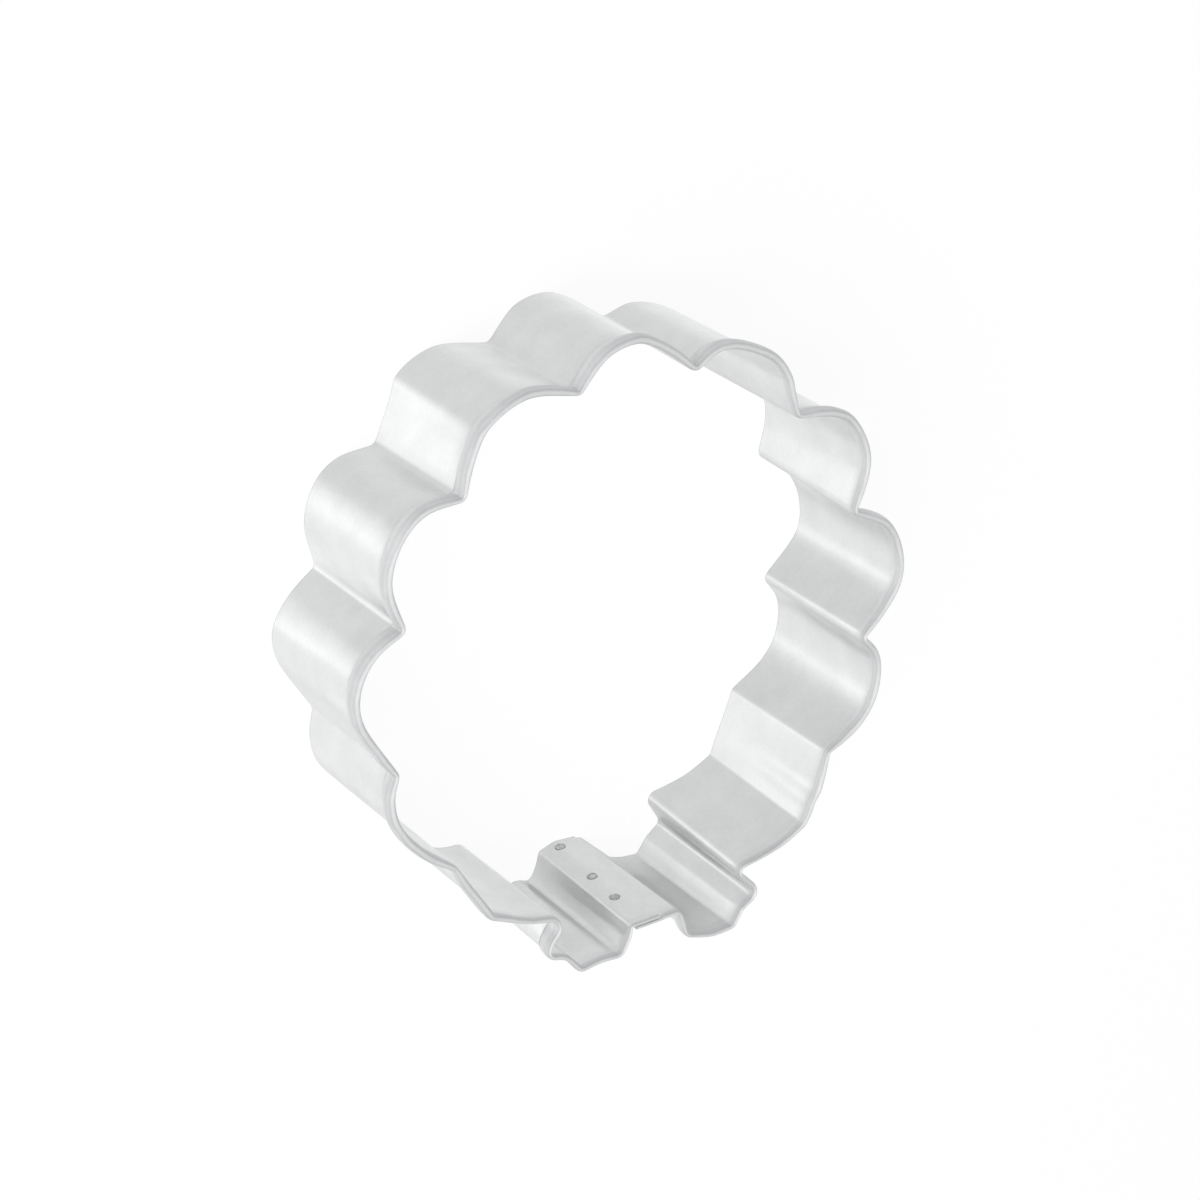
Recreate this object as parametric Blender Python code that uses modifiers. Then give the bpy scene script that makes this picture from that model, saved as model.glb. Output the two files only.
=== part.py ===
# Cookie cutter in the shape of a turkey: one band of tinplate stands on its plain cutting
# edge, its top edge is rolled outwards, and its two ends lap between the feet, where three
# spot welds join them. The outline is read from above, with the turkey's head end at +Y.

import math

import bmesh
import bpy
from mathutils import Vector

# Driving dimensions, in metres. The outline's width runs across the widest feathers and its
# length from the toes to the top feather, both on the band's middle line
MM = 0.001
OUTLINE_WIDTH = 84.7 * MM
OUTLINE_LENGTH = 90.4 * MM
BAND_DEPTH = 25.4 * MM
SHEET = 0.3 * MM
LAP_GAP = 0.1 * MM

# Rolled rim: how far it stands out from the band's middle line, how far its lip hangs down,
# and how much of that is left at the feet, where the bends crush it
ROLL_REACH = 1.2 * MM
ROLL_DROP = 2.3 * MM
ROLL_INSET = 0.02 * MM
ROLL_SHEET = SHEET - 2 * ROLL_INSET
FOOT_ROLL_SHARE = 0.6

# Radii of the bends, on the band's middle line
NOTCH_RADIUS = 1.4 * MM
FOLD_RADIUS = 1.2 * MM
TOE_RADIUS = 1.0 * MM

# Spot welds, in a row that leans away from the left foot towards the cutting edge
WELD_DIAMETER = 1.4 * MM
WELD_CLEARANCE = 0.2 * MM
WELD_HOLE_RADIUS = WELD_DIAMETER / 2 + WELD_CLEARANCE
WELD_MARGIN = 0.3 * MM
WELD_LEAN = 0.3 * MM
EDGE_MARGIN = 1.0 * MM
FIRST_WELD_HEIGHT = EDGE_MARGIN + WELD_HOLE_RADIUS
LAST_WELD_BELOW_RIM = 7.2 * MM
MIDDLE_WELD_SHARE = 0.57

# The lap between the feet, measured along the band from the left foot's corner
OUTER_END_SETBACK = 0.9 * MM
INNER_END_MARGIN = 1.2 * MM
LAST_WELD_REACH = OUTER_END_SETBACK + WELD_MARGIN + WELD_HOLE_RADIUS
INNER_END_REACH = LAST_WELD_REACH + WELD_LEAN + WELD_HOLE_RADIUS + INNER_END_MARGIN
ROLL_START_SETBACK = 2.0 * MM
ROLL_END_SETBACK = 0.15 * MM

# Fineness of the bends
CURVE_STEP = 2.4 * MM
BEND_STEPS = 4
FOLD_STEPS = 6
WELD_SIDES = 24
SHARP_ANGLE = math.radians(35)
LONGEST_CUT = 0.9

# The outline as drawn, clockwise from the left foot's corner between the feet; it is then
# stretched to the width and length above. Each point has the radius of its bend, or None
# where the band curves smoothly through it.
CROTCH_LEFT = (-2.9, -34.6, FOLD_RADIUS)
CROTCH_RIGHT = (4.9, -35.3, FOLD_RADIUS)
LEFT_FOOT = (
    (-4.8, -39.5, FOLD_RADIUS),
    (-6.8, -39.3, None),
    (-11.1, -40.3, TOE_RADIUS),
    (-13.4, -37.7, None),
    (-15.9, -36.4, TOE_RADIUS),
)
LEFT_SIDE = (
    (-14.9, -30.5, FOLD_RADIUS),
    (-20.0, -30.0, None),
    (-25.0, -27.6, FOLD_RADIUS),
    (-30.1, -19.2, NOTCH_RADIUS),
)
LEFT_FEATHERS = (
    (-34.4, -15.4, None),
    (-37.7, -10.9, None),
    (-38.5, -7.4, None),
    (-37.7, -2.7, NOTCH_RADIUS),
    (-42.2, 5.1, None),
    (-42.5, 10.2, None),
    (-39.5, 15.0, None),
    (-35.5, 17.3, NOTCH_RADIUS),
    (-37.0, 24.2, None),
    (-34.8, 30.4, None),
    (-31.0, 32.8, None),
    (-25.6, 33.5, NOTCH_RADIUS),
    (-23.9, 39.3, None),
    (-21.1, 43.3, None),
    (-15.6, 45.5, None),
    (-8.0, 44.2, NOTCH_RADIUS),
)
TOP_FEATHER = (
    (-4.1, 48.3, None),
    (0.3, 49.8, None),
    (5.0, 48.0, None),
)
RIGHT_FEATHERS = (
    (9.6, 44.3, NOTCH_RADIUS),
    (16.5, 45.4, None),
    (21.3, 43.4, None),
    (24.2, 39.5, None),
    (25.9, 33.5, NOTCH_RADIUS),
    (29.5, 33.1, None),
    (34.7, 30.8, None),
    (36.8, 25.6, None),
    (35.1, 17.5, NOTCH_RADIUS),
    (39.5, 15.0, None),
    (42.2, 10.2, None),
    (41.8, 5.1, None),
    (36.0, -1.5, NOTCH_RADIUS),
    (38.3, -5.8, None),
    (37.7, -10.9, None),
    (35.0, -14.7, None),
)
RIGHT_WING = (25.9, -27.8, FOLD_RADIUS)
RIGHT_LEG = (15.0, -31.1, FOLD_RADIUS)
RIGHT_SIDE = (
    (30.0, -18.0, NOTCH_RADIUS),
    RIGHT_WING,
    (20.6, -30.3, None),
    RIGHT_LEG,
)
RIGHT_FOOT = (
    (17.1, -36.4, TOE_RADIUS),
    (12.2, -40.6, TOE_RADIUS),
    (7.0, -39.8, FOLD_RADIUS),
)
OUTLINE = (
    *LEFT_FOOT,
    *LEFT_SIDE,
    *LEFT_FEATHERS,
    *TOP_FEATHER,
    *RIGHT_FEATHERS,
    *RIGHT_SIDE,
    *RIGHT_FOOT,
)


def clear_scene():
    for obj in list(bpy.data.objects):
        bpy.data.objects.remove(obj)


def new_collection(name):
    collection = bpy.data.collections.new(name)
    bpy.context.scene.collection.children.link(collection)
    return collection


def metal(name, colour, roughness):
    material = bpy.data.materials.new(name)
    material.use_nodes = True
    shader = material.node_tree.nodes["Principled BSDF"]
    shader.inputs["Base Color"].default_value = (*colour, 1.0)
    shader.inputs["Metallic"].default_value = 1.0
    shader.inputs["Roughness"].default_value = roughness
    return material


# The path of the band


def smooth_run(points):
    """Points along a centripetal curve through the given ones, both ends included."""
    if len(points) == 2:
        return list(points)
    padded = [2 * points[0] - points[1], *points, 2 * points[-1] - points[-2]]
    run = [points[0]]
    for index in range(1, len(padded) - 2):
        before, start, end, after = padded[index - 1 : index + 3]
        first = math.sqrt((start - before).length)
        second = first + math.sqrt((end - start).length)
        third = second + math.sqrt((after - end).length)
        steps = max(1, round((end - start).length / CURVE_STEP))
        for step in range(1, steps + 1):
            time = first + (second - first) * step / steps
            early = before.lerp(start, time / first)
            middle = start.lerp(end, (time - first) / (second - first))
            late = end.lerp(after, (time - second) / (third - second))
            low = early.lerp(middle, time / second)
            high = middle.lerp(late, (time - first) / (third - first))
            run.append(low.lerp(high, (time - first) / (second - first)))
    return run


def shortened(run, length):
    """The run with this length taken off its end, though never past its last segment."""
    run = list(run)
    while len(run) > 2 and (run[-1] - run[-2]).length <= length:
        length -= (run[-1] - run[-2]).length
        run.pop()
    last = (run[-1] - run[-2]).length
    run[-1] = run[-1].lerp(run[-2], min(LONGEST_CUT, length / last))
    return run


def turn_between(run, following):
    return (run[-1] - run[-2]).angle(following[1] - following[0])


def bend(run, following, radius):
    """Points of the rounded bend that leads from the end of one run to the next."""
    leaving = (run[-1] - run[-2]).normalized()
    arriving = (following[1] - following[0]).normalized()
    handle = radius * 4 / 3 * math.tan(leaving.angle(arriving) / 4)
    controls = (
        run[-1],
        run[-1] + leaving * handle,
        following[0] - arriving * handle,
        following[0],
    )
    points = []
    for step in range(1, BEND_STEPS):
        share = step / BEND_STEPS
        level = controls
        while len(level) > 1:
            level = [a.lerp(b, share) for a, b in zip(level, level[1:])]
        points.append(level[0])
    return points


def rounded_path(points):
    """The open path through points of (place, radius of the bend or None)."""
    runs = []
    radii = []
    run = [points[0][0]]
    for place, radius in points[1:]:
        run.append(place)
        if radius is not None:
            runs.append(smooth_run(run))
            radii.append(radius)
            run = [place]
    turns = [turn_between(a, b) for a, b in zip(runs, runs[1:])]
    for index, turn in enumerate(turns):
        setback = radii[index] * math.tan(turn / 2)
        runs[index] = shortened(runs[index], setback)
        following = shortened(runs[index + 1][::-1], setback)
        runs[index + 1] = following[::-1]
    path = []
    for index, run in enumerate(runs):
        path += run
        if index < len(turns):
            path += bend(run, runs[index + 1], radii[index])
    return path


def drawn_size(axis):
    places = [point[axis] for point in OUTLINE]
    return max(places) - min(places)


def plan_point(point):
    """The place of a drawn point once the outline has its width and length."""
    x = point[0] * OUTLINE_WIDTH / drawn_size(0)
    y = point[1] * OUTLINE_LENGTH / drawn_size(1)
    return Vector((x, y, 0))


class Lap:
    """The straight lap between the feet, with its directions and the places along it."""

    def __init__(self):
        self.corner = plan_point(CROTCH_LEFT)
        self.right = plan_point(CROTCH_RIGHT)
        self.along = (self.right - self.corner).normalized()
        self.outward = Vector((self.along.y, -self.along.x, 0))
        self.layer_step = self.outward * (SHEET + LAP_GAP)

    def inner(self, reach):
        return self.corner + self.along * reach

    def outer(self, reach):
        return self.inner(reach) + self.layer_step


def band_path(lap):
    """The band's middle line, from its inner end round to its outer end."""
    points = [(lap.inner(INNER_END_REACH), 0.0), (lap.corner, CROTCH_LEFT[2])]
    points += [(plan_point(point), point[2]) for point in OUTLINE]
    points.append((lap.right + lap.layer_step, CROTCH_RIGHT[2]))
    points.append((lap.outer(OUTER_END_SETBACK), 0.0))
    return rounded_path(points)


# Pieces


def new_object(name, data, collection):
    """An object of this collection, held by the cutter's origin."""
    obj = bpy.data.objects.new(name, data)
    obj.parent = bpy.data.objects["cutter_origin"]
    collection.objects.link(obj)
    return obj


def place_origin(path, collection):
    """The empty that holds every piece, set so that the footprint is centred on the world's."""
    reaches = [ROLL_REACH * share for share in roll_shares(path)]
    centre = Vector((0, 0, 0))
    for axis in (0, 1):
        low = min(place[axis] - reach for place, reach in zip(path, reaches))
        high = max(place[axis] + reach for place, reach in zip(path, reaches))
        centre[axis] = (low + high) / 2
    origin = bpy.data.objects.new("cutter_origin", None)
    origin.location = -centre
    collection.objects.link(origin)


def wall(path, collection):
    """The band without its rolled rim: the path drawn up to a ribbon and given its sheet."""
    drawing = bmesh.new()
    points = [drawing.verts.new(place) for place in path]
    edges = [drawing.edges.new(pair) for pair in zip(points, points[1:])]
    raised = bmesh.ops.extrude_edge_only(drawing, edges=edges)["geom"]
    top = [item for item in raised if isinstance(item, bmesh.types.BMVert)]
    height = BAND_DEPTH - ROLL_SHEET - roll_fold_radius() / 2
    bmesh.ops.translate(drawing, verts=top, vec=(0, 0, height))
    mesh = bpy.data.meshes.new("band")
    drawing.to_mesh(mesh)
    drawing.free()
    obj = new_object("band", mesh, collection)
    solidify = obj.modifiers.new("Sheet", "SOLIDIFY")
    solidify.thickness = SHEET
    solidify.offset = 0
    solidify.use_even_offset = True
    return obj


def roll_fold_radius():
    """Radius of the rim's fold, on the outside of its sheet."""
    return (ROLL_REACH + ROLL_SHEET / 2) / 2


def roll_profile():
    """Section of the rolled rim, with y up from the roll's pivot."""
    radius = roll_fold_radius()
    inner_radius = radius - ROLL_SHEET
    centre_x = radius - ROLL_SHEET / 2
    centre_y = BAND_DEPTH - radius - roll_pivot()
    lip = centre_y + radius - ROLL_DROP
    foot = -2 * ROLL_SHEET
    angles = [math.pi * step / FOLD_STEPS for step in range(FOLD_STEPS + 1)]

    def arc(arc_radius, turn):
        places = [(math.cos(angle), math.sin(angle)) for angle in angles[::turn]]
        return [(centre_x + arc_radius * x, centre_y + arc_radius * y) for x, y in places]

    section = [
        (centre_x - inner_radius, foot),
        *arc(inner_radius, -1),
        (centre_x + inner_radius, lip),
        (centre_x + radius, lip),
        *arc(radius, 1),
        (centre_x - radius, foot),
    ]
    # A swept section's x runs to the right of its path, which is the cutter's inside here
    return [(-x, y) for x, y in section]


def roll_pivot():
    """Height of the line that the roll is drawn about, where its sheet leaves the band."""
    return BAND_DEPTH - 2 * roll_fold_radius()


def poly_curve(name, points, closed, collection):
    curve = bpy.data.curves.new(name, "CURVE")
    curve.dimensions = "2D"
    curve.fill_mode = "NONE"
    spline = curve.splines.new("POLY")
    spline.points.add(len(points) - 1)
    for target, place in zip(spline.points, points):
        target.co = (place[0], place[1], 0, 1)
    spline.use_cyclic_u = closed
    return new_object(name, curve, collection)


def roll_shares(path):
    """How full the roll is along its path: whole round the tail, crushed at the feet."""
    wing = plan_point(RIGHT_WING)
    leg = plan_point(RIGHT_LEG)
    shares = []
    for place in path:
        fade = (wing.y - place.y) / (wing.y - leg.y)
        fade = min(1.0, max(0.0, fade))
        shares.append(1.0 - (1.0 - FOOT_ROLL_SHARE) * fade)
    return shares


def rolled_rim(path, helpers):
    """The roll as a closed solid, swept along the path that carries it."""
    profile = poly_curve("roll_profile", roll_profile(), True, helpers)
    sweep = poly_curve("roll_sweep", path, False, helpers)
    sweep.location.z = roll_pivot()
    sweep.data.bevel_mode = "OBJECT"
    sweep.data.bevel_object = profile
    sweep.data.use_fill_caps = True
    for point, share in zip(sweep.data.splines[0].points, roll_shares(path)):
        point.radius = share
    bpy.context.view_layer.update()
    evaluated = sweep.evaluated_get(bpy.context.evaluated_depsgraph_get())
    mesh = bpy.data.meshes.new_from_object(evaluated)
    solid = new_object("rolled_rim", mesh, helpers)
    solid.location = sweep.location
    bpy.data.objects.remove(sweep)
    bpy.data.objects.remove(profile)
    drawing = bmesh.new()
    drawing.from_mesh(mesh)
    bmesh.ops.remove_doubles(drawing, verts=drawing.verts, dist=0.001 * MM)
    bmesh.ops.recalc_face_normals(drawing, faces=drawing.faces)
    drawing.to_mesh(mesh)
    drawing.free()
    return hidden_helper(solid)


def hidden_helper(obj):
    obj.hide_render = True
    obj.display_type = "WIRE"
    return obj


def roll_path(path):
    """The part of the path that has a roll, from past the left foot's corner to near its end."""
    from_start = shortened(path[::-1], INNER_END_REACH + ROLL_START_SETBACK)[::-1]
    return shortened(from_start, ROLL_END_SETBACK)


def add_boolean(obj, other, operation):
    boolean = obj.modifiers.new(other.name, "BOOLEAN")
    boolean.operation = operation
    boolean.solver = "EXACT"
    boolean.object = other


def weld_places(lap):
    """Centre of each weld, halfway through the two layers of the lap."""
    last_height = BAND_DEPTH - LAST_WELD_BELOW_RIM
    places = []
    for share in (0, MIDDLE_WELD_SHARE, 1):
        height = FIRST_WELD_HEIGHT + (last_height - FIRST_WELD_HEIGHT) * share
        reach = LAST_WELD_REACH + WELD_LEAN * (1 - share)
        places.append(lap.inner(reach) + lap.layer_step / 2 + Vector((0, 0, height)))
    return places


def disc(name, diameter, length, place, direction, collection):
    """A cylinder of this length, centred on its place and turned to this direction."""
    drawing = bmesh.new()
    bmesh.ops.create_cone(
        drawing,
        cap_ends=True,
        segments=WELD_SIDES,
        radius1=diameter / 2,
        radius2=diameter / 2,
        depth=length,
    )
    mesh = bpy.data.meshes.new(name)
    drawing.to_mesh(mesh)
    drawing.free()
    obj = new_object(name, mesh, collection)
    obj.location = place
    obj.rotation_mode = "QUATERNION"
    obj.rotation_quaternion = direction.to_track_quat("Z", "Y")
    return obj


def shade(obj, material):
    obj.data.materials.append(material)
    obj.data.shade_smooth()
    obj.data.set_sharp_from_angle(angle=SHARP_ANGLE)


def build():
    clear_scene()
    parts = new_collection("cookie_cutter")
    helpers = new_collection("cutters")
    tinplate = metal("satin tinplate", (0.78, 0.78, 0.79), 0.32)
    weld_metal = metal("welded tinplate", (0.55, 0.55, 0.56), 0.45)

    lap = Lap()
    path = band_path(lap)
    place_origin(path, parts)
    band = wall(path, parts)
    add_boolean(band, rolled_rim(roll_path(path), helpers), "UNION")
    shade(band, tinplate)

    layers = 2 * SHEET + LAP_GAP
    drilled = layers + 2 * SHEET
    for number, place in enumerate(weld_places(lap), start=1):
        hole = disc(f"weld_hole_{number}", 2 * WELD_HOLE_RADIUS, drilled, place, lap.outward, helpers)
        add_boolean(band, hidden_helper(hole), "DIFFERENCE")
        weld = disc(f"spot_weld_{number}", WELD_DIAMETER, layers, place, lap.outward, parts)
        shade(weld, weld_metal)


build()
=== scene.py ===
import math

import bpy
from mathutils import Matrix, Vector


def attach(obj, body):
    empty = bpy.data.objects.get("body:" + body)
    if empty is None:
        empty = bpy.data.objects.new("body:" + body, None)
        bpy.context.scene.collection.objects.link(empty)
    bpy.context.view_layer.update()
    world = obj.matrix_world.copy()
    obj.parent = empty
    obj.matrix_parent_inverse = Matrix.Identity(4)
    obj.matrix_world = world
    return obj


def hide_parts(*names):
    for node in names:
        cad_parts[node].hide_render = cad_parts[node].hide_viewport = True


# Turkey cookie cutter: a strip of tinplate with one edge rolled over, bent round the outline
# and spot welded where its ends lap between the feet. Sizes here are in millimetres.

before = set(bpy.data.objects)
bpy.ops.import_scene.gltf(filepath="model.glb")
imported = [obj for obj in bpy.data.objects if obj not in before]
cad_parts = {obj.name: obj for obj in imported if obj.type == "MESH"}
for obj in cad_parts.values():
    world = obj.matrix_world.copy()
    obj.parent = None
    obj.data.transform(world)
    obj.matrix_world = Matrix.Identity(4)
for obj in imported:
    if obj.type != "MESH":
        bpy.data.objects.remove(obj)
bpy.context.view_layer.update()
mm = 0.001


# Camera at the photograph's angle

# it looks down past the tail's left side, turned so that the tail leans to the upper left
cameraSizes = {
    "place": (-247.0, 223.8, 453.0),
    "turn": (-22.52, -30.19, -2.10),  # degrees about x, y and z
    "lens": 119.2,
    "sensor": 36.0,
    "nearest": 10.0,  # nothing closer than this is drawn
}


def addCamera():
    turn = [math.radians(angle) for angle in cameraSizes["turn"]]
    place = Vector(cameraSizes["place"]) * mm
    bpy.ops.object.camera_add(location=place, rotation=turn)
    camera = bpy.context.object
    camera.name = "photoCamera"
    camera.data.lens = cameraSizes["lens"]
    camera.data.sensor_width = cameraSizes["sensor"]
    camera.data.clip_start = cameraSizes["nearest"] * mm
    bpy.context.scene.camera = camera


addCamera()
print("camera placed")


# Small helpers for nodes and objects


def paint(hexColour):
    # the linear colour of an sRGB hex value
    levels = [int(hexColour[i : i + 2], 16) / 255 for i in (1, 3, 5)]
    linear = [v / 12.92 if v <= 0.04045 else ((v + 0.055) / 1.055) ** 2.4 for v in levels]
    return (*linear, 1.0)


def addNode(tree, kind, settings=None, values=None, links=None):
    # a node with its settings, its own input values, and what is linked into its inputs
    node = tree.nodes.new(kind)
    for name, value in (settings or {}).items():
        setattr(node, name, value)
    for name, value in (values or {}).items():
        node.inputs[name].default_value = value
    for name, source in (links or {}).items():
        tree.links.new(source, node.inputs[name])
    return node


def newMaterial(name):
    material = bpy.data.materials.new(name)
    material.use_nodes = True
    tree = material.node_tree
    tree.nodes.clear()
    return material, tree


def onlySelect(obj):
    bpy.ops.object.select_all(action="DESELECT")
    obj.select_set(True)
    bpy.context.view_layer.objects.active = obj


def applyModifiers(obj):
    onlySelect(obj)
    for name in [modifier.name for modifier in obj.modifiers]:
        bpy.ops.object.modifier_apply(modifier=name)


def smoothed(obj, degrees):
    onlySelect(obj)
    bpy.ops.object.shade_smooth_by_angle(angle=math.radians(degrees))


# The band's outline

# It runs clockwise seen from above, from the lap between the feet. Each mark is its x and y
# at the rim, the radius of its bend, or None where the strip curves smoothly through it, and
# how far the cutting edge lies from the rim there, as bent by hand. The first mark is the
# lap's crown, where both layers bend a little before the left foot's corner.
leftFootMarks = [
    (-0.6, -40.8, 2.4, 0.0, 1.6),
    (-2.8, -40.9, 0.7, -0.3, 0.8),
    (-3.2, -42.3, None, -0.7, -0.3),
    (-4.6, -44.9, 1.2, -0.4, 0.4),
    (-7.7, -44.8, None, 0.4, 1.0),
    (-10.9, -45.3, 0.9, 0.0, 0.2),
    (-13.1, -42.8, None, 0.0, 0.2),
    (-15.9, -41.9, 0.9, 0.0, 0.6),
    (-15.2, -40.1, None, -0.2, 1.0),
]
leftSideMarks = [
    (-12.0, -36.7, 1.9, -2.6, 1.6),
    (-18.7, -35.3, None, 0.0, 0.2),
    (-24.2, -32.9, 1.2, 0.0, 0.0),
    (-29.7, -24.0, 1.4, 0.0, 0.0),
]
leftFeatherMarks = [
    (-34.8, -19.6, None, 0.0, 0.1),
    (-37.6, -15.6, None, 0.0, 0.0),
    (-38.3, -11.6, None, 0.0, -0.1),
    (-37.5, -8.0, 1.4, -0.1, 0.2),
    (-42.4, 1.3, None, -0.2, 0.0),
    (-42.3, 5.5, None, -0.4, 0.0),
    (-40.1, 9.3, None, 0.0, 0.2),
    (-35.2, 12.4, 1.4, -0.6, 0.6),
    (-36.9, 19.6, None, -0.1, 0.2),
    (-35.0, 24.8, None, 0.0, 0.3),
    (-31.7, 27.8, None, -0.1, -0.2),
    (-25.6, 28.7, 1.5, -0.2, -0.3),
    (-23.4, 35.0, None, 0.4, -0.2),
    (-21.5, 37.9, None, -0.4, -0.3),
    (-15.8, 40.7, None, -0.7, -0.3),
    (-7.8, 39.6, 1.5, 0.1, -0.3),
]
topFeatherMarks = [
    (-3.1, 44.0, None, -0.2, -0.2),
    (1.3, 44.9, None, -0.2, -0.2),
    (4.3, 43.6, None, -0.1, 0.1),
    (10.0, 39.1, 1.5, 0.5, 0.2),
]
rightFeatherMarks = [
    (14.7, 41.2, None, 0.6, -0.8),
    (22.0, 38.2, None, 0.0, -0.4),
    (24.3, 34.9, None, 0.0, 0.0),
    (24.8, 32.6, None, 0.0, 0.0),
    (25.9, 28.9, 1.5, 0.0, 0.0),
    (29.3, 28.4, None, 0.0, 0.0),
    (32.5, 27.6, None, 0.0, 0.0),
    (34.7, 26.1, None, 0.2, 0.1),
    (37.0, 20.5, None, -0.1, -0.5),
    (34.8, 12.7, 1.4, 0.7, 0.5),
    (40.3, 9.4, None, 0.3, -0.2),
    (42.3, 5.0, None, 0.1, -0.1),
    (42.0, 0.6, None, 0.0, -0.6),
    (36.2, -6.6, 1.4, -0.1, 0.3),
    (38.4, -10.6, None, 0.0, 0.4),
    (37.9, -15.6, None, 0.1, 0.1),
    (35.6, -19.1, None, 0.1, 0.0),
    (30.2, -22.7, 1.4, 0.1, -0.1),
]
rightSideMarks = [
    (29.0, -26.1, None, 0.0, 0.1),
    (28.2, -28.4, None, -0.1, 0.4),
    (27.3, -29.7, None, 0.2, 0.3),
    (26.6, -31.4, None, 0.2, 0.4),
    (25.8, -32.9, 1.2, 0.4, 0.4),
    (22.0, -35.1, None, -0.2, 0.5),
    (13.9, -37.1, 1.3, 0.9, 1.0),
]
rightFootMarks = [
    (18.2, -41.6, 1.2, -0.8, 0.8),
    (15.3, -43.5, 1.2, -0.5, 0.6),
    (13.8, -45.8, 0.9, -0.6, 0.6),
    (10.5, -46.0, None, -0.3, 1.1),
    (6.4, -45.0, 1.3, 2.1, 0.6),
    (5.4, -40.4, 1.1, -1.7, 1.0),
]
outlineMarks = leftFootMarks + leftSideMarks + leftFeatherMarks + topFeatherMarks
outlineMarks += rightFeatherMarks + rightSideMarks + rightFootMarks

# The band: a strip with a rolled rim, bent to the outline, its ends lapped

bandSizes = {
    "depth": 25.4,
    "sheet": 0.3,
    "rimLean": (0.24, -0.22),  # how far the whole rim leans over
    "edgeBevel": 0.04,
    "sharpAngle": 38,  # degrees, past which an edge isn't smoothed
    # the mesh's columns along the strip and rows across it
    "station": 0.6,  # spacing of the columns
    "curveSteps": 24,  # steps between two marks, before the columns are spaced
    "bendSteps": 8,
    "leastCut": 0.3,  # how much of each side a bend takes, at least
    "wallRows": 12,
    "foldRows": 12,
    "lipRows": 4,
    # the lap of its ends
    "layerGap": 0.06,
    "tabReach": (3.3, 2.3),  # how far the inner end runs past the crown, at cutting edge and rim
    "outerSetback": 0.8,  # where the outer end stops short of the left foot's corner
    "splay": 0.2,  # how far the outer layer stands off over the inner layer's rolled edge
    "splayFrom": 20.5,  # the heights where it starts to stand off, and where it does so fully
    "splayTo": 23.2,
    "splayFade": 1.6,  # how far past the inner end it lies back again
    # the rolled rim
    "rollHalfWidth": 0.53,  # half the distance between the wall and the lip
    "rollRise": 0.95,  # how far below the top the wall starts to turn outwards
    "rollDrop": 3.1,  # how far the lip hangs down
    "rollTuck": 0.44,  # share of the width that is left at the lip's lower edge
    "footShare": 0.5,  # share of the roll's width that is left at the feet
    "crushFrom": -31.0,  # the feet's crush starts at this y, and is full at the next
    "crushTo": -36.5,
    "notchShare": 0.6,  # share that is left where the outline turns inwards
    "notchReach": 2.2,  # how far along the strip a notch pinches the roll
    "tabShare": 0.2,  # share that is left where the ends lap
    "tabGrowth": 0.15,  # how much of the share comes back with each mm past the lap
    "tabFade": 1.5,  # how far past the left foot's corner the lap still flattens the roll
}
flatMap = "flatStrip"  # the UV map that shows the strip laid flat
mapUnit = 100.0  # how much of the strip a unit of that map shows


def curveThrough(places):
    # a smooth centripetal curve through the places, in fine steps
    if len(places) == 2:
        return list(places)
    padded = [2 * places[0] - places[1], *places, 2 * places[-1] - places[-2]]
    run = [places[0]]
    for i in range(1, len(padded) - 2):
        before, start, end, after = padded[i - 1 : i + 3]
        first = math.sqrt((start - before).length)
        second = first + math.sqrt((end - start).length)
        third = second + math.sqrt((after - end).length)
        for step in range(1, bandSizes["curveSteps"] + 1):
            time = first + (second - first) * step / bandSizes["curveSteps"]
            early = before.lerp(start, time / first)
            middle = start.lerp(end, (time - first) / (second - first))
            late = end.lerp(after, (time - second) / (third - second))
            low = early.lerp(middle, time / second)
            high = middle.lerp(late, (time - first) / (third - first))
            run.append(low.lerp(high, (time - first) / (second - first)))
    return run


def runLength(run):
    return sum((b - a).length for a, b in zip(run, run[1:]))


def evenlySpaced(run, startCut, endCut, count):
    # the run without a length at each end, in this many even steps
    marks = [0.0]
    for a, b in zip(run, run[1:]):
        marks.append(marks[-1] + (b - a).length)
    places = []
    i = 0
    for step in range(count + 1):
        goal = startCut + (marks[-1] - endCut - startCut) * step / count
        while i < len(run) - 2 and marks[i + 1] < goal:
            i += 1
        places.append(run[i].lerp(run[i + 1], (goal - marks[i]) / (marks[i + 1] - marks[i])))
    return places


def bendBetween(run, following, radius):
    # the places of a rounded bend from the end of one run to the start of the next
    start = run[-1]
    end = following[0]
    leaving = (start - run[-2]).normalized()
    arriving = (following[1] - end).normalized()
    # handles that follow an arc of this radius, or a third of the way where that is longer
    handle = radius * 4 / 3 * math.tan(leaving.angle(arriving) / 4)
    handle = max(handle, (end - start).length / 3)
    controls = [start, start + leaving * handle, end - arriving * handle, end]
    places = []
    for step in range(1, bandSizes["bendSteps"]):
        share = step / bandSizes["bendSteps"]
        points = controls
        while len(points) > 1:
            points = [a.lerp(b, share) for a, b in zip(points, points[1:])]
        places.append(points[0])
    return places


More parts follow.
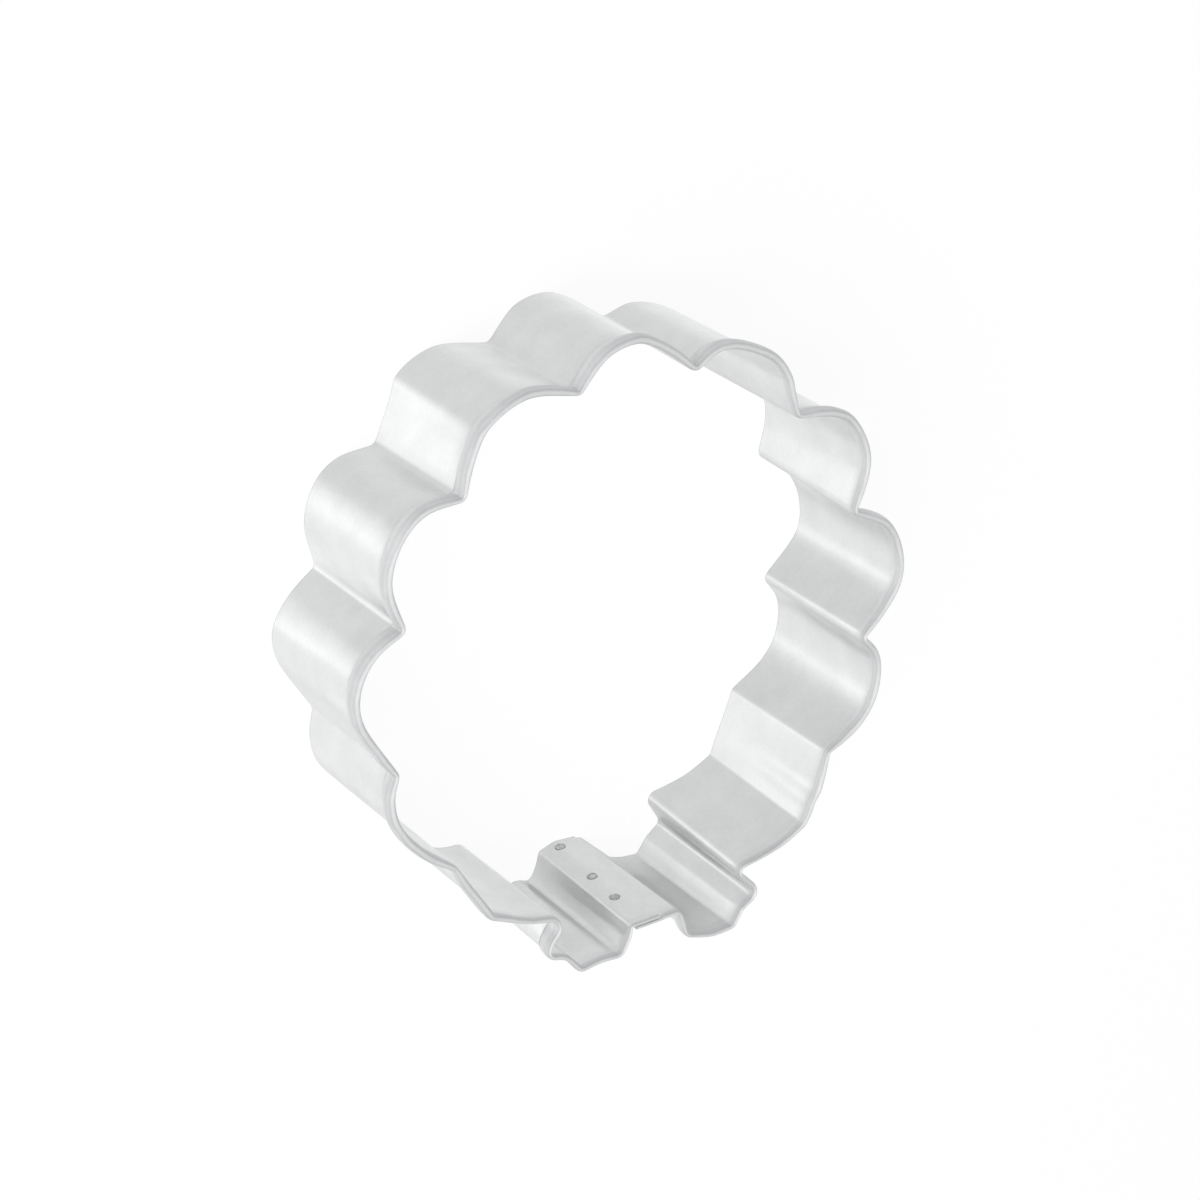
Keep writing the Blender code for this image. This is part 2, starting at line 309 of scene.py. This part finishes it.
def marksAt(level):
    # the whole strip's marks at the cutting edge, level 0, or at the rim, level 1
    marks = []
    for x, y, radius, leanX, leanY in outlineMarks:
        edgeOffset = Vector((leanX, leanY)) * (1 - level)
        rimOffset = Vector(bandSizes["rimLean"]) * level
        marks.append([Vector((x, y)) + edgeOffset + rimOffset, radius])
    # the two ends lap: the inner layer runs past the crown, the outer one nearly to the corner
    crown, corner, right = marks[0][0], marks[1][0], marks[-1][0]
    offset = bandSizes["sheet"] + bandSizes["layerGap"]
    rightward = (right - crown).normalized()
    fromCorner = (crown - corner).normalized()
    below = Vector((rightward.y, -rightward.x)) * offset
    belowCorner = Vector((fromCorner.y, -fromCorner.x)) * offset
    edgeReach, rimReach = bandSizes["tabReach"]
    tabEnd = [crown + rightward * (edgeReach + (rimReach - edgeReach) * level), 0]
    marks[-1][0] = right + below
    outerCrown = [crown + (below + belowCorner) / 2, marks[0][1] + offset]
    outerEnd = [corner + fromCorner * bandSizes["outerSetback"] + belowCorner, 0]
    return [tabEnd] + marks + [outerCrown, outerEnd]


def stripPath(level, counts):
    # the strip's middle line at one level, with the index of each bend's middle. The rim is
    # drawn first, and its counts of places are used again so that the two levels match.
    marks = marksAt(level)
    runs = []
    radii = []
    run = [marks[0][0]]
    for place, radius in marks[1:]:
        run.append(place)
        if radius is not None:
            runs.append(curveThrough(run))
            radii.append(radius)
            run = [place]
    cuts = [0.0]
    for i in range(len(runs) - 1):
        turn = (runs[i][-1] - runs[i][-2]).angle(runs[i + 1][1] - runs[i + 1][0])
        cuts.append(max(bandSizes["leastCut"], radii[i] * math.tan(turn / 2)))
    cuts.append(0.0)
    if not counts:
        counts += [max(1, round(runLength(run) / bandSizes["station"])) for run in runs]
    for i, run in enumerate(runs):
        runs[i] = evenlySpaced(run, cuts[i], cuts[i + 1], counts[i])
    path = []
    bends = []
    for i, run in enumerate(runs):
        path += run
        if i < len(runs) - 1:
            bends.append(len(path) + bandSizes["bendSteps"] // 2 - 1)
            path += bendBetween(run, runs[i + 1], radii[i])
    return path, bends


def outwardNormals(path):
    # at each place, the level direction that points out of the cutter
    normals = []
    for i in range(len(path)):
        along = path[min(i + 1, len(path) - 1)] - path[max(i - 1, 0)]
        normals.append(Vector((-along.y, along.x)).normalized())
    return normals


def easeBetween(low, high, value):
    # 0 up to the first limit, 1 from the second on, and smooth between them
    share = min(1.0, max(0.0, (value - low) / (high - low)))
    return share * share * (3 - 2 * share)


counts = []
rimPath, bendPlaces = stripPath(1, counts)
edgePath, _ = stripPath(0, counts)
rimNormals = outwardNormals(rimPath)
edgeNormals = outwardNormals(edgePath)
travel = [0.0]
for a, b in zip(rimPath, rimPath[1:]):
    travel.append(travel[-1] + (b - a).length)
# the first and last bends are the two layers' crowns, and the next ones the feet's corners
innerCrown = bendPlaces[0]
tabTravel = travel[bendPlaces[1]]
lapTravel = travel[bendPlaces[-2]]


def notchTravels():
    # where along the strip the outline turns inwards, which pinches the roll
    found = []
    reach = 3  # columns on each side that show which way a bend turns
    for i in bendPlaces[1:-1]:
        before = rimPath[i] - rimPath[i - reach]
        after = rimPath[i + reach] - rimPath[i]
        if before.x * after.y - before.y * after.x > 0:
            found.append(travel[i])
    return found


notches = notchTravels()


def pastTab(i):
    # how far a column of the outer layer lies past the inner layer's end
    return max(0.0, (rimPath[i] - rimPath[innerCrown]).length - bandSizes["tabReach"][1])


def rollShare(i):
    # how full the roll is at this column: crushed at the feet, pinched at the notches and
    # flattened where the ends lap
    crush = easeBetween(bandSizes["crushFrom"], bandSizes["crushTo"], rimPath[i].y)
    share = 1 - (1 - bandSizes["footShare"]) * crush
    nearest = min(abs(travel[i] - notch) for notch in notches)
    pinch = math.exp(-((nearest / bandSizes["notchReach"]) ** 2))
    share *= 1 - (1 - bandSizes["notchShare"]) * pinch * (1 - crush)
    if travel[i] < tabTravel + bandSizes["tabFade"]:
        past = max(0.0, travel[i] - tabTravel)
        share = min(share, bandSizes["tabShare"] + bandSizes["tabGrowth"] * past)
    if travel[i] > lapTravel:
        share = min(share, bandSizes["tabShare"] + bandSizes["tabGrowth"] * pastTab(i))
    return share


def rollSection(share):
    # outward distance and height of each row of the roll, from the wall's top to the lip
    top = bandSizes["depth"] - bandSizes["sheet"] / 2
    half = bandSizes["rollHalfWidth"] * share
    rise = bandSizes["rollRise"] * min(1.0, share / bandSizes["footShare"])
    section = []
    for step in range(bandSizes["foldRows"] + 1):
        angle = math.pi * step / bandSizes["foldRows"]
        out = half * (1 - math.cos(angle))
        section.append((out, top - rise * (1 - math.sin(angle))))
    lipEnd = bandSizes["depth"] - bandSizes["rollDrop"]
    for step in range(1, bandSizes["lipRows"] + 1):
        down = step / bandSizes["lipRows"]
        out = 2 * half * (1 - (1 - bandSizes["rollTuck"]) * down * down)
        height = section[bandSizes["foldRows"]][1]
        section.append((out, height + (lipEnd - height) * down))
    return section


def stripPlace(i, out, height):
    # a place on the strip's middle sheet: column, distance outwards and height
    level = height / bandSizes["depth"]
    place = edgePath[i].lerp(rimPath[i], level)
    normal = edgeNormals[i].lerp(rimNormals[i], level).normalized()
    if travel[i] > lapTravel:
        splayed = easeBetween(bandSizes["splayFrom"], bandSizes["splayTo"], height)
        faded = easeBetween(0, bandSizes["splayFade"], pastTab(i))
        out += bandSizes["splay"] * splayed * (1 - faded)
    place = place + normal * out
    return Vector((place.x, place.y, height)) * mm


def stripSection(share):
    # outward distance and height of every row, from the cutting edge to the lip's end
    section = rollSection(share)
    wallTop = section[0][1]
    wall = [(0.0, wallTop * row / bandSizes["wallRows"]) for row in range(bandSizes["wallRows"])]
    return wall + section


def columnPlaces(i):
    return [stripPlace(i, out, height) for out, height in stripSection(rollShare(i))]


# how far each row lies from the cutting edge when the strip is flat
flatRows = [0.0]
for low, high in zip(stripSection(1), stripSection(1)[1:]):
    flatRows.append(flatRows[-1] + math.dist(low, high))


def addBand():
    # a flat grid is bent onto the outline: the operators can't bend a sheet along a path
    columns = len(rimPath)
    rows = len(flatRows)
    bpy.ops.mesh.primitive_grid_add(
        x_subdivisions=columns - 1, y_subdivisions=rows - 1, size=1, calc_uvs=True
    )
    obj = bpy.context.object
    obj.name = "tinplateBand"
    places = [columnPlaces(i) for i in range(columns)]
    mesh = obj.data
    spots = []
    for vertex in mesh.vertices:
        column = round((vertex.co.x + 0.5) * (columns - 1))
        row = round((vertex.co.y + 0.5) * (rows - 1))
        spots.append((column, row))
        vertex.co = places[column][row]
    layer = mesh.uv_layers.active
    layer.name = flatMap
    for loop in mesh.loops:
        column, row = spots[loop.vertex_index]
        layer.data[loop.index].uv = (travel[column] / mapUnit, flatRows[row] / mapUnit)
    sheet = obj.modifiers.new("Sheet", "SOLIDIFY")
    sheet.thickness = bandSizes["sheet"] * mm
    sheet.offset = 0
    sheet.use_even_offset = True
    sheet.use_quality_normals = True
    edges = obj.modifiers.new("CutEdges", "BEVEL")
    edges.width = bandSizes["edgeBevel"] * mm
    edges.segments = 1
    edges.limit_method = "ANGLE"
    edges.angle_limit = math.radians(60)  # only the cut edges turn this sharply
    applyModifiers(obj)
    return obj


band = addBand()
print("band bent:", len(band.data.polygons), "faces")


# Spot welds: dimpled nuggets through both layers of the lap

weldSizes = {
    "places": [(-0.55, 1.65), (-0.7, 11.1), (-0.75, 17.6)],  # x and height
    "diameter": 1.5,
    "length": 0.74,
    "sides": 40,
    # the width of each ring on a weld's face, and how far its inner edge stands out
    "rings": [(0.16, -0.1), (0.096, 0.03), (0.144, 0.05), (0.144, 0.015)],
    "gap": 0.05,  # between the nugget and the hole that is cut for it
    "drillLength": 1.4,
    "sharpAngle": 30,
}


def weldFrames():
    # each weld's middle, between the two layers, and its axis square to them
    frames = []
    between = (bandSizes["sheet"] + bandSizes["layerGap"]) / 2
    for x, height in weldSizes["places"]:
        columns = range(1, bendPlaces[1])
        i = min(columns, key=lambda k: abs(stripPlace(k, between, height).x - x * mm))
        place = stripPlace(i, between, height)
        along = stripPlace(i - 1, between, height) - stripPlace(i + 1, between, height)
        up = stripPlace(i, between, height + 1) - stripPlace(i, between, height - 1)
        frames.append((place, along.cross(up).normalized()))
    return frames


def addCylinder(radius, length, place, axis):
    bpy.ops.mesh.primitive_cylinder_add(
        vertices=weldSizes["sides"], radius=radius * mm, depth=length * mm
    )
    obj = bpy.context.object
    obj.matrix_world = Matrix.LocRotScale(place, axis.to_track_quat("Z", "Y"), None)
    return obj


def addWeld(name, place, axis):
    obj = addCylinder(weldSizes["diameter"] / 2, weldSizes["length"], place, axis)
    obj.name = name
    onlySelect(obj)
    for side in (1, -1):
        bpy.ops.object.mode_set(mode="EDIT")
        bpy.ops.mesh.select_all(action="DESELECT")
        bpy.ops.object.mode_set(mode="OBJECT")
        # the end face that looks this way along the weld's own axis
        for face in obj.data.polygons:
            face.select = face.normal.z * side > 0.9
        bpy.ops.object.mode_set(mode="EDIT")
        for width, rise in weldSizes["rings"]:
            bpy.ops.mesh.inset(thickness=width * mm)
            bpy.ops.transform.translate(value=axis * rise * side * mm)
        bpy.ops.object.mode_set(mode="OBJECT")
    bpy.ops.object.transform_apply(location=True, rotation=True, scale=True)
    return obj


def drillWelds(frames):
    for place, axis in frames:
        radius = weldSizes["diameter"] / 2 + weldSizes["gap"]
        cutter = addCylinder(radius, weldSizes["drillLength"], place, axis)
        hole = band.modifiers.new("WeldHole", "BOOLEAN")
        hole.operation = "DIFFERENCE"
        hole.solver = "EXACT"
        hole.object = cutter
        applyModifiers(band)
        bpy.data.objects.remove(cutter)
    # the cuts leave many-sided faces with thin corners, so they are split evenly here
    onlySelect(band)
    bpy.ops.object.mode_set(mode="EDIT")
    bpy.ops.mesh.select_mode(type="FACE")
    bpy.ops.mesh.select_all(action="DESELECT")
    bpy.ops.mesh.select_face_by_sides(number=4, type="GREATER")
    bpy.ops.mesh.quads_convert_to_tris(quad_method="BEAUTY", ngon_method="BEAUTY")
    bpy.ops.object.mode_set(mode="OBJECT")


weldSpots = weldFrames()
drillWelds(weldSpots)
welds = [addWeld(f"spotWeld{n}", *spot) for n, spot in enumerate(weldSpots, start=1)]
smoothed(band, bandSizes["sharpAngle"])
for weld in welds:
    smoothed(weld, weldSizes["sharpAngle"])
print("welds set:", len(welds))


# Finishes

tinplateLook = {
    "tin": "#E1E2E2",
    "steel": "#A9AAAC",  # the cut edges
    "rollShade": "#D8D9D9",  # painted shade on the roll and the lip, which the wall darkens into just below the roll
    "creaseShade": "#CBCCCD",  # painted shade where the roll starts and where it turns down into the lip
    "shadedCrest": "#C8C9C9",  # painted shade on the roll's crest, lighter than the painted shade lines beside it so that it reads as a painted highlight line
    "crestShadeLine": "#B8B9BA",  # painted shade lines on both sides of the crest
    "wander": 0.007,  # how far the painted shade lines stray, as a share of their distance
    "roughness": 0.36,
    "dulledRoughness": 0.4,  # added on the roll
    "anisotropic": 1.0,
    "dulledAnisotropic": 0.3,
    # mm between the rolling marks and along one. Real ones are a few hundredths of a mm
    # apart, too fine to show here, so they are drawn coarser
    "grainAcross": 0.22,
    "grainAlong": 9.0,
    "grainRoughness": 0.03,  # how far a mark takes the roughness up or down
    "cloud": 5.0,  # mm across a cloud in the tin
    "cloudDepth": 0.04,
    "speckle": 0.7,  # mm across a grain of the tin's crystals
    "speckleDepth": 0.025,
    "wave": 11.0,  # mm between the soft dents that bending by hand leaves
    "waveHeight": 0.04,
}
noiseSpan = {"From Min": 0.25, "From Max": 0.75}  # nearly all of a noise lies between these


def tinplateMaterial():
    # Electrolytic tinplate, cold rolled and flow brightened: fine rolling marks run along the
    # strip, so that a reflection is drawn out across it and stays sharp along it. The tin is
    # faintly clouded, rougher where the edge is rolled over, and its cut edges show the steel.
    # The roll, the lip and the top of the wall are darkened with painted shade, with painted
    # shade lines and a painted highlight line along the crest.
    material, tree = newMaterial("satinTinplate")
    uv = addNode(tree, "ShaderNodeUVMap", {"uv_map": flatMap})
    acrossStrip = addNode(tree, "ShaderNodeSeparateXYZ", {}, {}, {"Vector": uv.outputs["UV"]})
    noises = {}
    # each pattern's size in mm along the strip, across it, and off it, where the map is flat
    patterns = {
        "grain": (tinplateLook["grainAlong"], tinplateLook["grainAcross"], mapUnit),
        "cloud": [tinplateLook["cloud"]] * 3,
        "speckle": [tinplateLook["speckle"]] * 3,
        "wave": [tinplateLook["wave"]] * 3,
    }
    for name, sizes in patterns.items():
        scale = [mapUnit / size for size in sizes]
        scaled = addNode(
            tree, "ShaderNodeMapping", {}, {"Scale": scale}, {"Vector": uv.outputs["UV"]}
        )
        noises[name] = addNode(
            tree,
            "ShaderNodeTexNoise",
            {},
            {"Scale": 1.0, "Detail": 2.0},
            {"Vector": scaled.outputs["Vector"]},
        ).outputs["Fac"]

    # colour by distance across the flat strip: cut edge, tin, then the roll and lip in painted
    # shade, with painted shade lines and a painted highlight line along the crest
    wander = tinplateLook["wander"]
    stray = addNode(
        tree,
        "ShaderNodeMapRange",
        {},
        {**noiseSpan, "To Min": 1 - wander, "To Max": 1 + wander},
        {"Value": noises["cloud"]},
    )
    strayed = addNode(
        tree,
        "ShaderNodeMath",
        {"operation": "MULTIPLY"},
        {},
        {0: acrossStrip.outputs["Y"], 1: stray.outputs["Result"]},
    )
    position = addNode(
        tree,
        "ShaderNodeMapRange",
        {},
        {"From Max": flatRows[-1] / mapUnit},
        {"Value": strayed.outputs[0]},
    )
    tone = addNode(tree, "ShaderNodeValToRGB", {}, {}, {"Fac": position.outputs["Result"]})
    rollStart = flatRows[bandSizes["wallRows"]]
    crest = flatRows[bandSizes["wallRows"] + bandSizes["foldRows"] // 2]
    # how many mm across the flat strip each tone lies
    stops = [
        (0.05, "steel"),
        (0.12, "tin"),
        # painted shade: the wall darkens over its last 1.4 mm into the roll, and the roll and lip
        # carry painted shade, painted shade lines and a painted highlight line along the crest
        (rollStart - 1.4, "tin"),
        (rollStart, "rollShade"),
        (rollStart + 0.3, "creaseShade"),
        (crest - 0.6, "creaseShade"),
        (crest - 0.35, "crestShadeLine"),
        (crest - 0.15, "shadedCrest"),
        (crest + 0.1, "shadedCrest"),
        (crest + 0.3, "crestShadeLine"),
        (crest + 0.6, "creaseShade"),
        (crest + 1.0, "creaseShade"),
        (crest + 1.8, "rollShade"),
        (flatRows[-1] - 0.12, "rollShade"),
        (flatRows[-1] - 0.05, "steel"),
    ]
    elements = tone.color_ramp.elements
    while len(elements) < len(stops):
        elements.new(1.0)
    for element, (place, name) in zip(elements, stops):
        element.position = place / flatRows[-1]
        element.color = paint(tinplateLook[name])

    clouded = tone.outputs["Color"]
    for name in ("cloud", "speckle"):
        depth = tinplateLook[name + "Depth"]
        shade = addNode(
            tree,
            "ShaderNodeMapRange",
            {},
            {**noiseSpan, "To Min": 1 - depth, "To Max": 1 + depth},
            {"Value": noises[name]},
        )
        clouded = addNode(
            tree,
            "ShaderNodeVectorMath",
            {"operation": "SCALE"},
            {},
            {"Vector": clouded, "Scale": shade.outputs["Result"]},
        ).outputs["Vector"]

    # rougher by the grain, and rougher still and less directional where the roll begins
    middle = tinplateLook["roughness"]
    swing = tinplateLook["grainRoughness"]
    grainRoughness = addNode(
        tree,
        "ShaderNodeMapRange",
        {},
        {"To Min": middle - swing, "To Max": middle + swing},
        {"Value": noises["grain"]},
    )
    # over the last 0.6 mm of the wall and the first 0.4 mm of the roll
    ontoRoll = {
        "From Min": (rollStart - 0.6) / mapUnit,
        "From Max": (rollStart + 0.4) / mapUnit,
    }
    rollRoughness = addNode(
        tree,
        "ShaderNodeMapRange",
        {},
        {**ontoRoll, "To Max": tinplateLook["dulledRoughness"]},
        {"Value": acrossStrip.outputs["Y"]},
    )
    directional = addNode(
        tree,
        "ShaderNodeMapRange",
        {},
        {
            **ontoRoll,
            "To Min": tinplateLook["anisotropic"],
            "To Max": tinplateLook["dulledAnisotropic"],
        },
        {"Value": acrossStrip.outputs["Y"]},
    )
    roughness = addNode(
        tree,
        "ShaderNodeMath",
        {"operation": "ADD"},
        {},
        {0: grainRoughness.outputs["Result"], 1: rollRoughness.outputs["Result"]},
    )
    dents = addNode(
        tree,
        "ShaderNodeBump",
        {},
        {"Strength": 1.0, "Distance": tinplateLook["waveHeight"] * mm},
        {"Height": noises["wave"]},
    )
    tangent = addNode(tree, "ShaderNodeTangent", {"direction_type": "UV_MAP", "uv_map": flatMap})
    # a quarter turn, so that the drawn-out glare runs across the strip
    metal = {"Metallic": 1.0, "Anisotropic Rotation": 0.25}
    surface = {
        "Base Color": clouded,
        "Roughness": roughness.outputs[0],
        "Anisotropic": directional.outputs["Result"],
        "Normal": dents.outputs["Normal"],
        "Tangent": tangent.outputs["Tangent"],
    }
    shader = addNode(tree, "ShaderNodeBsdfPrincipled", {}, metal, surface)
    addNode(tree, "ShaderNodeOutputMaterial", {}, {}, {"Surface": shader.outputs["BSDF"]})
    return material


weldLook = {
    "fused": "#A8AAAC",
    "bright": "#C8C9CA",  # where the tin ran together
    "mottle": 0.5,  # mm across a patch of either
    "patches": (0.35, 0.65),  # the noise's values between which one turns into the other
    "roughness": (0.52, 0.38),  # of the fused and the bright patches
    "pit": 0.2,  # mm between the electrode's pits, drawn coarser than real ones so that they show
    "pitDepth": 0.008,
}


def weldMaterial():
    # Tin and steel fused by the electrode: duller and darker than the sheet, with no grain,
    # patchy where the tin ran and finely pitted, so that the nugget scatters its reflection.
    material, tree = newMaterial("fusedWeldSteel")
    coordinates = addNode(tree, "ShaderNodeTexCoord")
    noises = {}
    for name in ("mottle", "pit"):
        noises[name] = addNode(
            tree,
            "ShaderNodeTexNoise",
            {},
            {"Scale": 1 / (weldLook[name] * mm), "Detail": 2.0},
            {"Vector": coordinates.outputs["Object"]},
        ).outputs["Fac"]
    colour = addNode(tree, "ShaderNodeValToRGB", {}, {}, {"Fac": noises["mottle"]})
    ends = zip(colour.color_ramp.elements, weldLook["patches"], ("fused", "bright"))
    for element, place, name in ends:
        element.position = place
        element.color = paint(weldLook[name])
    low, high = weldLook["patches"]
    dull, shiny = weldLook["roughness"]
    roughness = addNode(
        tree,
        "ShaderNodeMapRange",
        {},
        {"From Min": low, "From Max": high, "To Min": dull, "To Max": shiny},
        {"Value": noises["mottle"]},
    )
    pits = addNode(
        tree,
        "ShaderNodeBump",
        {},
        {"Strength": 1.0, "Distance": weldLook["pitDepth"] * mm},
        {"Height": noises["pit"]},
    )
    surface = {
        "Base Color": colour.outputs["Color"],
        "Roughness": roughness.outputs["Result"],
        "Normal": pits.outputs["Normal"],
    }
    shader = addNode(tree, "ShaderNodeBsdfPrincipled", {}, {"Metallic": 1.0}, surface)
    addNode(tree, "ShaderNodeOutputMaterial", {}, {}, {"Surface": shader.outputs["BSDF"]})
    return material


def putOn(obj, material):
    obj.data.materials.clear()
    obj.data.materials.append(material)


tinplate = tinplateMaterial()
weldSteel = weldMaterial()
putOn(band, tinplate)
for weld in welds:
    putOn(weld, weldSteel)
print("finishes made")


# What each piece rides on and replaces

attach(band, "root")
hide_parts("band")
for number, weld in enumerate(welds, start=1):
    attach(weld, "root")
    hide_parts(f"spot_weld_{number}")


# Studio: white floor, white surroundings and soft lamps

studio = {
    "floorSize": 6000.0,
    "floorDrop": 0.02,  # the floor lies this far below the cutting edge
    "floor": "#FAFAFA",
    "white": "#FFFFFF",
    "floorGlow": 0.9,  # how much of the floor is plain white as seen or reflected
    "worldFill": 0.45,  # how strongly the surroundings light the cutter
    "lampDistance": 700.0,
}
lamps = {
    # azimuth and elevation in degrees, width and height in mm, power in watts
    "topPanel": (180, 75, 140, 370, 1.6),
    "leftPanel": (195, 45, 650, 370, 2.04),
    "rightPanel": (30, 45, 650, 370, 0.58),
    "lowLeftPanel": (158, 15, 350, 370, 0.36),
    "lowFrontPanel": (225, 15, 180, 370, 0.16),
}


def backgroundRays(tree):
    # 1 for rays from the camera and for reflected or refracted rays
    path = addNode(tree, "ShaderNodeLightPath")
    either = addNode(
        tree,
        "ShaderNodeMath",
        {"operation": "MAXIMUM"},
        {},
        {0: path.outputs["Is Camera Ray"], 1: path.outputs["Is Glossy Ray"]},
    )
    every = addNode(
        tree,
        "ShaderNodeMath",
        {"operation": "MAXIMUM"},
        {},
        {0: either.outputs[0], 1: path.outputs["Is Transmission Ray"]},
    )
    return every.outputs[0]


def addFloor():
    # matte paper, which shows the lamps' light and the cutter's shadow, mixed with plain white
    size = studio["floorSize"] * mm
    drop = studio["floorDrop"] * mm
    bpy.ops.mesh.primitive_plane_add(size=size, location=(0, 0, -drop))
    floor = bpy.context.object
    floor.name = "studioFloor"
    material, tree = newMaterial("matteWhiteFloor")
    matte = addNode(tree, "ShaderNodeBsdfDiffuse", {}, {"Color": paint(studio["floor"])})
    white = {"Color": paint(studio["white"]), "Strength": 1.0}
    glow = addNode(tree, "ShaderNodeEmission", {}, white)
    share = addNode(
        tree,
        "ShaderNodeMath",
        {"operation": "MULTIPLY"},
        {1: studio["floorGlow"]},
        {0: backgroundRays(tree)},
    )
    mixed = addNode(
        tree,
        "ShaderNodeMixShader",
        {},
        {},
        {0: share.outputs[0], 1: matte.outputs[0], 2: glow.outputs[0]},
    )
    addNode(tree, "ShaderNodeOutputMaterial", {}, {}, {"Surface": mixed.outputs[0]})
    putOn(floor, material)


def setWorld():
    # white where it is seen or reflected, and a weaker light on the cutter
    world = bpy.data.worlds.new("whiteStudio")
    world.use_nodes = True
    tree = world.node_tree
    tree.nodes.clear()
    strength = addNode(
        tree,
        "ShaderNodeMapRange",
        {},
        {"To Min": studio["worldFill"], "To Max": 1.0},
        {"Value": backgroundRays(tree)},
    )
    sky = addNode(
        tree,
        "ShaderNodeBackground",
        {},
        {"Color": paint(studio["white"])},
        {"Strength": strength.outputs[0]},
    )
    addNode(tree, "ShaderNodeOutputWorld", {}, {}, {"Surface": sky.outputs[0]})
    bpy.context.scene.world = world


def addLamp(name, azimuth, elevation, width, height, power):
    # a soft panel that faces the cutter
    around = math.radians(azimuth)
    above = math.radians(elevation)
    level = math.cos(above)
    direction = Vector((math.cos(around) * level, math.sin(around) * level, math.sin(above)))
    bpy.ops.object.light_add(type="AREA", location=direction * studio["lampDistance"] * mm)
    lamp = bpy.context.object
    lamp.name = name
    lamp.rotation_euler = direction.to_track_quat("Z", "Y").to_euler()
    lamp.data.shape = "RECTANGLE"
    lamp.data.size = width * mm
    lamp.data.size_y = height * mm
    lamp.data.energy = power


addFloor()
setWorld()
for name, sizes in lamps.items():
    addLamp(name, *sizes)
bpy.context.scene.view_settings.view_transform = "Standard"
print("studio lit")
